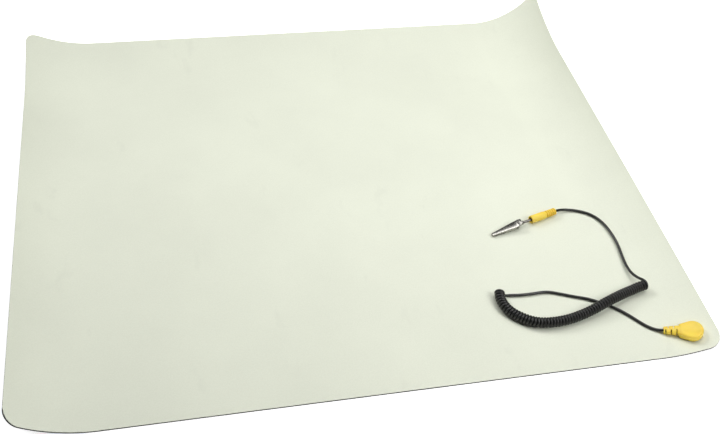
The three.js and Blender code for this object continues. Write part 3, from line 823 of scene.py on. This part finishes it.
def plug_frame():
    """The plug's frame: X runs from the cord's end of the boot to the tip of the clip."""
    sheet, top = the_sheet()
    place = Vector((*PLUG_PLACE, top + PLUG_AXIS_HEIGHT)) + sheet.shift
    return Matrix.Translation(place * MM) @ Matrix.Rotation(math.radians(PLUG_HEADING), 4, "Z")


def put_on(piece, body, slot, *nodes):
    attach(piece, body)
    if nodes:
        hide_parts(*nodes)
    return piece


class BENCHMAT_OT_camera(bpy.types.Operator):
    """Adds the camera at the picture's angle"""
    bl_idname = "benchmat.camera"
    bl_label = "Camera"

    def execute(self, context):
        sheet, _ = the_sheet()
        data = bpy.data.cameras.new("camera")
        data.sensor_width = SENSOR_MM
        data.sensor_fit = "HORIZONTAL"
        data.lens = FOCAL_PIXELS / PICTURE_WIDTH * SENSOR_MM
        data.clip_start = 0.02
        data.clip_end = 50
        camera = add_object("camera", data)
        turn = Matrix(CAMERA_ROWS).transposed().to_4x4()
        place = (Vector(CAMERA_PLACE) + sheet.shift) * MM
        camera.matrix_world = Matrix.Translation(place) @ turn
        context.scene.camera = camera
        return {"FINISHED"}


class BENCHMAT_OT_cord(bpy.types.Operator):
    """Adds the ground cord: a straight lead, the coil and a second lead, as one line"""
    bl_idname = "benchmat.cord"
    bl_label = "Ground cord"

    def execute(self, context):
        _, cord_sizes = settings()
        sheet, top = the_sheet()
        diameter = cord_sizes.diameter / MM
        start = in_frame(SNAP_LEAD, sheet, top)
        middle = in_frame(COIL, sheet, top)
        end = in_frame(PLUG_LEAD, sheet, top)
        turns = helix(middle, (COIL_DIAMETER - diameter) / 2, COIL_TURNS, POINTS_PER_TURN)
        leaving = (turns[-1] + end[0]) / 2 + Vector((0, 0, LEAVING_RISE))
        places = [p * MM for p in start + turns + [leaving] + end]
        jacket = cord_jacket(cord_sizes.color)
        piece = round_line("ground_cord", places, cord_sizes.diameter, 3, jacket)
        put_on(piece, MAT_BODY, "cord", "lead_snap_end", "cord_coil", "lead_plug_end")
        context.scene["cord_length"] = piece.data.splines[0].calc_length(resolution=12)
        return {"FINISHED"}


class BENCHMAT_OT_sheet(bpy.types.Operator):
    """Adds the mat's two bonded rubber layers"""
    bl_idname = "benchmat.sheet"
    bl_label = "Mat layers"

    def execute(self, context):
        sizes, _ = settings()
        sheet, top = the_sheet()
        backing = sizes.backing / MM
        step = sizes.mesh_step / MM
        lower = sheet_layer(sheet, 0, backing, step, BACKING_RIM)
        piece = finish_mesh("mat_backing", lower, conductive_rubber(sizes.backing_color), 60)
        put_on(piece, MAT_BODY, "backing", "conductive_backing")
        upper = sheet_layer(sheet, backing, top, step, TOP_LAYER_RIM)
        piece = finish_mesh("mat_top_layer", upper, dissipative_rubber(sizes.top_color), 60)
        put_on(piece, MAT_BODY, "top_layer", "dissipative_top")
        return {"FINISHED"}


def cap_outline(inset, count=72):
    """The snap cap seen from above, made smaller all round by inset."""
    radius, end = CAP_RADIUS - inset, CAP_SHOULDER - inset
    shoulder = RELIEF_RADIUS * RELIEF_FLATNESS + 0.4 - inset
    start = math.atan2(shoulder, end) + math.acos(radius / math.hypot(end, shoulder))
    points = [(end, shoulder * (k / 4 - 1)) for k in range(9)]
    for i in range(count + 1):
        angle = start + (2 * math.pi - 2 * start) * i / count
        points.append((radius * math.cos(angle), radius * math.sin(angle)))
    return points


def slot_cutters(start, axis, reach, count):
    """Boxes that cut a strain relief along X from alternate sides."""
    cutters = []
    for i in range(count):
        x = start + i * SLOT_PITCH
        side = 1 if i % 2 == 0 else -1
        low, high = sorted((WEB_HALF * side, reach * side))
        cutters.append(box_mesh((x, low, axis - reach), (x + SLOT_WIDTH, high, axis + reach)))
    return cutters


def cylinder_along_x(start, end, radius, height=0.0):
    mesh = along_x(turned([(0, start), (radius, start), (radius, end), (0, end)], 32))
    mesh.transform(Matrix.Translation((0, 0, height * MM)))
    return mesh


class BENCHMAT_OT_snap(bpy.types.Operator):
    """Adds the yellow snap cap with its strain relief, and the metal stud that it sits on"""
    bl_idname = "benchmat.snap"
    bl_label = "Snap cap and stud"

    def execute(self, context):
        _, cord_sizes = settings()
        yellow = yellow_moulding(cord_sizes.moulding_color)
        piece = finish_mesh("snap_cap_moulding", self.moulding(), yellow, 35)
        piece.matrix_world = stud_frame()
        put_on(piece, MAT_BODY, "moulding", "snap_cap")
        metal = plated_metal("stud_nickel", (0.82, 0.81, 0.77), 0.16, 0.32)
        for name, node, profile in (
            ("stud_dome", "mat_stud", self.stud_profile()),
            ("stud_back", "stud_rivet", self.rivet_profile()),
            ("cap_socket", "snap_socket", self.socket_profile()),
        ):
            piece = finish_mesh(name, turned(profile, 64), metal, 50)
            piece.matrix_world = stud_frame()
            put_on(piece, MAT_BODY, "stud_metal", node)
        return {"FINISHED"}

    def moulding(self):
        top = CAP_FOOT + CAP_HEIGHT
        levels = [(CAP_LIP, CAP_FOOT), (0.12, CAP_FOOT + 0.15), (0, CAP_FOOT + 0.5)]
        for degrees in range(0, 91, 15):
            angle = math.radians(degrees)
            levels.append((CAP_EDGE * (1 - math.cos(angle)), top - CAP_EDGE * (1 - math.sin(angle))))
        levels += [(CAP_EDGE + 0.8, top), (CAP_EDGE + 1.1, top - CAP_DISH)]
        body = stacked([[(x, y, z) for x, y in cap_outline(inset)] for inset, z in levels])
        lengths = [
            (CAP_SHOULDER - 3, RELIEF_RADIUS), (CAP_SHOULDER, RELIEF_RADIUS),
            (RELIEF_END - 0.5, RELIEF_TIP_RADIUS + 0.02), (RELIEF_END - 0.15, RELIEF_TIP_RADIUS - 0.1),
            (RELIEF_END, RELIEF_TIP_RADIUS - 0.4),
        ]
        relief = stacked([
            [(x, r * RELIEF_FLATNESS * math.cos(a), RELIEF_AXIS + r * math.sin(a))
             for a in (2 * math.pi * k / 48 for k in range(48))]
            for x, r in lengths
        ])
        joined = boolean(body, [relief], "UNION")
        ceiling = SOCKET_RECESS_TOP
        recess = turned([(0, -1), (SOCKET_RECESS, -1), (SOCKET_RECESS, ceiling), (0, ceiling)], 48)
        bore_end = RELIEF_END - CORD_INSIDE - CLEARANCE
        cutters = [cylinder_along_x(bore_end, RELIEF_END + 1, CORD_HOLE, RELIEF_AXIS), recess]
        start = RELIEF_END - RELIEF_SLOTS * SLOT_PITCH
        cutters += slot_cutters(start, RELIEF_AXIS, 2 * RELIEF_RADIUS * RELIEF_FLATNESS, RELIEF_SLOTS)
        return boolean(joined, cutters, "DIFFERENCE")

    def stud_profile(self):
        foot, floor = 0.3, 0.3 + STUD_SHEET + 0.3
        outside = rounded([
            (STUD_FLANGE, foot), (STUD_FLANGE, 0.75), (4.6, 1.05), (STUD_NECK, 2.0),
            (STUD_RADIUS, 3.0), (STUD_RADIUS - 0.15, 3.95), (4.0, STUD_HEIGHT), (STUD_MOUTH, 4.0),
        ], 0.35, 4)
        bore = (STUD_BORE, foot)
        return [bore] + outside + [(STUD_MOUTH, floor), (STUD_BORE, floor), bore]

    def rivet_profile(self):
        under, low = RIVET_UNDERSIDE, RIVET_UNDERSIDE - 0.6
        return [
            (0, low), (RIVET_FLANGE - 0.3, low), (RIVET_FLANGE, under - 0.2), (RIVET_FLANGE, under),
            (RIVET_SHANK, under), (RIVET_SHANK, 1.4), (RIVET_HEAD, 1.4), (RIVET_HEAD, 1.8),
            (2.5, 2.05), (1.6, 2.1), (0.7, 1.9), (0, 1.85),
        ]

    def socket_profile(self):
        foot, top, ceiling = SOCKET_FOOT, SOCKET_TOP, SOCKET_TOP - STUD_SHEET
        inside, grip, out = SOCKET_INSIDE, SOCKET_GRIP, SOCKET_RADIUS
        return [
            (inside, foot), (6.0, foot), (out, 1.35), (out, 5.0), (5.9, 5.35), (0, top),
            (0, ceiling), (4.8, ceiling), (inside, 4.5), (inside, 3.2), (grip, 2.9), (grip, 2.2),
            (inside, 1.9), (inside, foot),
        ]


class BENCHMAT_OT_plug(bpy.types.Operator):
    """Adds the banana plug: its yellow boot with a strain relief, and its pin"""
    bl_idname = "benchmat.plug"
    bl_label = "Banana plug"

    def execute(self, context):
        piece = finish_mesh("plug_boot_moulding", self.boot(), bpy.data.materials["yellow_moulding"], 35)
        piece.matrix_world = plug_frame()
        put_on(piece, MAT_BODY, "moulding", "plug_boot")
        # Painted shade: the pin's base colour is darkened far below nickel's to stand in for the dark
        # room that the rod reflects
        metal = plated_metal("pin_nickel_painted_shade", (0.16, 0.15, 0.14), 0.24, 0.4)
        piece = finish_mesh("plug_pin_turned", self.pin(), metal, 40)
        piece.matrix_world = plug_frame()
        put_on(piece, MAT_BODY, "pin_metal", "plug_pin")
        return {"FINISHED"}

    def boot(self):
        mouth = BOOT_LENGTH - BOOT_MOUTH_DEPTH
        waist = BOOT_LENGTH * 0.4
        corners = [(CORD_HOLE, 0), (BOOT_TAIL_RADIUS, 0)]
        for i in range(BOOT_GROOVES):
            x = SLOT_WIDTH + i * SLOT_PITCH
            corners += [
                (BOOT_TAIL_RADIUS, x), (BOOT_GROOVE_FLOOR, x + 0.1),
                (BOOT_GROOVE_FLOOR, x + SLOT_WIDTH - 0.1), (BOOT_TAIL_RADIUS, x + SLOT_WIDTH),
            ]
        corners += [
            (BOOT_TAIL_RADIUS + 0.1, waist + 2), (BOOT_RADIUS, waist + 2.6),
            (BOOT_RADIUS, BOOT_LENGTH), (BOOT_MOUTH_RADIUS, BOOT_LENGTH),
        ]
        outside = rounded(corners, 0.3, 3)
        cord_end = CORD_IN_BOOT + CLEARANCE
        pin_end = BOOT_LENGTH - PIN_IN_BOOT - CLEARANCE
        pin_hole = PIN_RADIUS + CLEARANCE
        profile = [(0, cord_end), (CORD_HOLE, cord_end)] + outside + [
            (BOOT_MOUTH_RADIUS, mouth), (pin_hole, mouth), (pin_hole, pin_end), (0, pin_end),
        ]
        return along_x(turned(profile, 56))

    def pin(self):
        start = BOOT_LENGTH - PIN_IN_BOOT
        end = BOOT_LENGTH + PIN_BARE + PIN_IN_CLIP
        collar = BOOT_LENGTH - BOOT_MOUTH_DEPTH + 0.2
        collar_end = collar + COLLAR_LENGTH
        return along_x(turned([
            (0, start), (PIN_RADIUS, start), (PIN_RADIUS, collar), (COLLAR_RADIUS - 0.1, collar),
            (COLLAR_RADIUS, collar + 0.2), (COLLAR_RADIUS, collar_end - 0.3),
            (COLLAR_RADIUS - 0.2, collar_end), (PIN_RADIUS, collar_end),
            (PIN_RADIUS, end - 0.7), (PIN_RADIUS - 0.25, end - 0.25), (PIN_RADIUS - 0.7, end), (0, end),
        ], 32))


class BENCHMAT_OT_clip(bpy.types.Operator):
    """Adds the crocodile clip: two folded jaws, the rivet that they turn on and the spring"""
    bl_idname = "benchmat.clip"
    bl_label = "Crocodile clip"

    def execute(self, context):
        # Painted shade: the clip's colour is nickel's darkened, so that its roof reflects the room
        # darker than plating would
        metal = plated_metal("clip_nickel_painted_shade", (0.42, 0.41, 0.38), 0.16, 0.28)
        self.place(finish_mesh("clip_jaw_upper", self.upper(), metal, 30), JAW_BODY, "clip_upper_jaw")
        self.place(finish_mesh("clip_jaw_lower", self.lower(), metal, 30), MAT_BODY, "clip_lower_jaw")
        self.place(finish_mesh("clip_barrel", self.barrel(), metal, 30), MAT_BODY, "clip_lower_jaw")
        self.place(finish_mesh("clip_rivet", self.rivet(), metal, 40), MAT_BODY, "clip_pivot")
        coil, leg = self.spring_lines()
        self.place(self.wire("clip_spring_coil", coil, metal), MAT_BODY, "clip_spring")
        self.place(self.wire("clip_spring_leg", leg, metal), JAW_BODY, "clip_spring")
        return {"FINISHED"}

    def place(self, piece, body, node):
        piece.matrix_world = plug_frame() @ Matrix.Translation(((BOOT_LENGTH + PIN_BARE) * MM, 0, 0))
        put_on(piece, body, "clip_metal", node)

    def wire(self, name, points, metal):
        return round_line(name, [Vector(p) * MM for p in points], SPRING_WIRE * MM, 2, metal)

    def upper(self):
        stations = jaw_stations(
            UPPER_ROOF[0][0], UPPER_WIDTH, UPPER_ROOF, UPPER_WALL, UPPER_EDGE, TOOTH_DEPTH, UPPER_FOLDS)
        return jaw_shell(stations, CLIP_SHEET)

    def lower(self):
        stations = jaw_stations(
            LOWER_FLOOR[0][0], LOWER_WIDTH, LOWER_FLOOR, LOWER_WALL, LOWER_EDGE, -TOOTH_DEPTH,
            LOWER_FOLDS)
        height = CLIP_FLOOR + CLIP_SHEET + PUNCH_RADIUS
        marks = []
        for x in PUNCH_MARKS:
            mark = turned([(0, -5), (PUNCH_RADIUS, -5), (PUNCH_RADIUS, 5), (0, 5)], 20)
            mark.transform(Matrix.Rotation(math.pi / 2, 4, "X"))
            mark.transform(Matrix.Translation(Vector((x, 0, height)) * MM))
            marks.append(mark)
        return boolean(jaw_shell(stations, CLIP_SHEET), marks, "DIFFERENCE")

    def barrel(self):
        hole = BARREL_RADIUS - CLIP_SHEET
        end = BARREL_LENGTH
        outside = rounded([(hole, 0), (BARREL_RADIUS, 0), (BARREL_RADIUS, end), (hole, end)], 0.2)
        tube = along_x(turned(outside + [outside[0]], 40))
        seam = box_mesh((-1, -BARREL_SEAM / 2, -3), (end + 1, BARREL_SEAM / 2, 0))
        return boolean(tube, [seam], "DIFFERENCE")

    def rivet(self):
        half, top = PIVOT_HALF, PIVOT_HALF + PIVOT_HEAD
        side = rounded([
            (PIVOT_RADIUS, half), (PIVOT_HEAD_RADIUS, half), (PIVOT_HEAD_RADIUS - 0.05, half + 0.25),
            (0.7, top), (0, top),
        ], 0.2)
        profile = [(r, -z) for r, z in reversed(side)] + side
        mesh = turned(profile, 32)
        mesh.transform(Matrix.Rotation(math.pi / 2, 4, "X"))
        mesh.transform(Matrix.Translation(Vector((PIVOT[0], 0, PIVOT[1])) * MM))
        return mesh

    def spring_lines(self):
        half = SPRING_TURNS * (SPRING_WIRE + SPRING_GAP) / 2
        floor = CLIP_FLOOR + CLIP_SHEET + SPRING_WIRE / 2 + SPRING_GAP
        coil = [(PIVOT[0] + 6, -half, floor), (PIVOT[0] + 2, -half, floor + 0.1)]
        count = SPRING_TURNS * 12
        for i in range(count + 1):
            angle = math.radians(SPRING_START - 360 * SPRING_TURNS * i / count)
            coil.append((
                PIVOT[0] + SPRING_RADIUS * math.cos(angle), -half + 2 * half * i / count,
                PIVOT[1] + SPRING_RADIUS * math.sin(angle)))
        end = Vector(coil[-1])
        lift = Vector((PIVOT[0] - 1.5, half, 1.3))
        leg = [end, (end + lift) / 2, lift, Vector((PIVOT[0] - 2.2, half, 2.0))]
        return coil, leg


class BENCHMAT_OT_stage(bpy.types.Operator):
    """Adds the pale floor and the soft studio light"""
    bl_idname = "benchmat.stage"
    bl_label = "Stage"

    def execute(self, context):
        self.floor()
        self.world(context)
        for light in LIGHTS:
            self.area(*light)
        context.scene.view_settings.view_transform = "Standard"
        return {"FINISHED"}

    def floor(self):
        mesh = bmesh.new()
        bmesh.ops.create_grid(mesh, x_segments=2, y_segments=2, size=FLOOR_HALF)
        piece = finish_mesh("floor", mesh, stage_floor())

    def world(self, context):
        world = bpy.data.worlds.new("studio")
        world.use_nodes = True
        background = world.node_tree.nodes["Background"]
        background.inputs["Color"].default_value = (1, 1, 1, 1)
        background.inputs["Strength"].default_value = WORLD_STRENGTH
        context.scene.world = world

    def area(self, name, place, target, power, spread_angle):
        data = bpy.data.lights.new(name, "AREA")
        data.shape = "SQUARE"
        data.size = LIGHT_SIZE
        data.energy = power
        data.spread = math.radians(spread_angle)
        light = add_object(name, data)
        light.location = place
        aim = Vector(target) - Vector(place)
        light.rotation_mode = "QUATERNION"
        light.rotation_quaternion = aim.to_track_quat("-Z", "Y")


class BENCHMAT_PT_panel(bpy.types.Panel):
    """Lists the pieces of the bench mat"""
    bl_label = "Bench mat"
    bl_idname = "BENCHMAT_PT_panel"
    bl_space_type = "VIEW_3D"
    bl_region_type = "UI"
    bl_category = "Bench mat"

    def draw(self, context):
        for group in (context.scene.bench_mat_sheet, context.scene.bench_mat_cord):
            for name in group.bl_rna.properties.keys():
                if name not in ("rna_type", "name"):
                    self.layout.prop(group, name)
        for operator in OPERATORS:
            self.layout.operator(operator.bl_idname)


OPERATORS = (
    BENCHMAT_OT_camera,
    BENCHMAT_OT_cord,
    BENCHMAT_OT_sheet,
    BENCHMAT_OT_snap,
    BENCHMAT_OT_plug,
    BENCHMAT_OT_clip,
    BENCHMAT_OT_stage,
)
CLASSES = (BenchMatSheet, BenchMatCord, *OPERATORS, BENCHMAT_PT_panel)


def register():
    for item in CLASSES:
        bpy.utils.register_class(item)
    bpy.types.Scene.bench_mat_sheet = bpy.props.PointerProperty(type=BenchMatSheet)
    bpy.types.Scene.bench_mat_cord = bpy.props.PointerProperty(type=BenchMatCord)


def unregister():
    del bpy.types.Scene.bench_mat_cord
    del bpy.types.Scene.bench_mat_sheet
    for item in reversed(CLASSES):
        bpy.utils.unregister_class(item)


def declare_cord():
    """Works out where the cord leaves the strain relief; nothing uses the place."""
    exit_point = stud_frame() @ (Vector((RELIEF_END, 0, RELIEF_AXIS)) * MM)


def main():
    register()
    for item in OPERATORS:
        group, name = item.bl_idname.split(".")
        result = getattr(getattr(bpy.ops, group), name)()
        if result != {"FINISHED"}:
            raise RuntimeError(f"{item.bl_label} was not made")
    declare_cord()


if __name__ == "__main__":
    main()
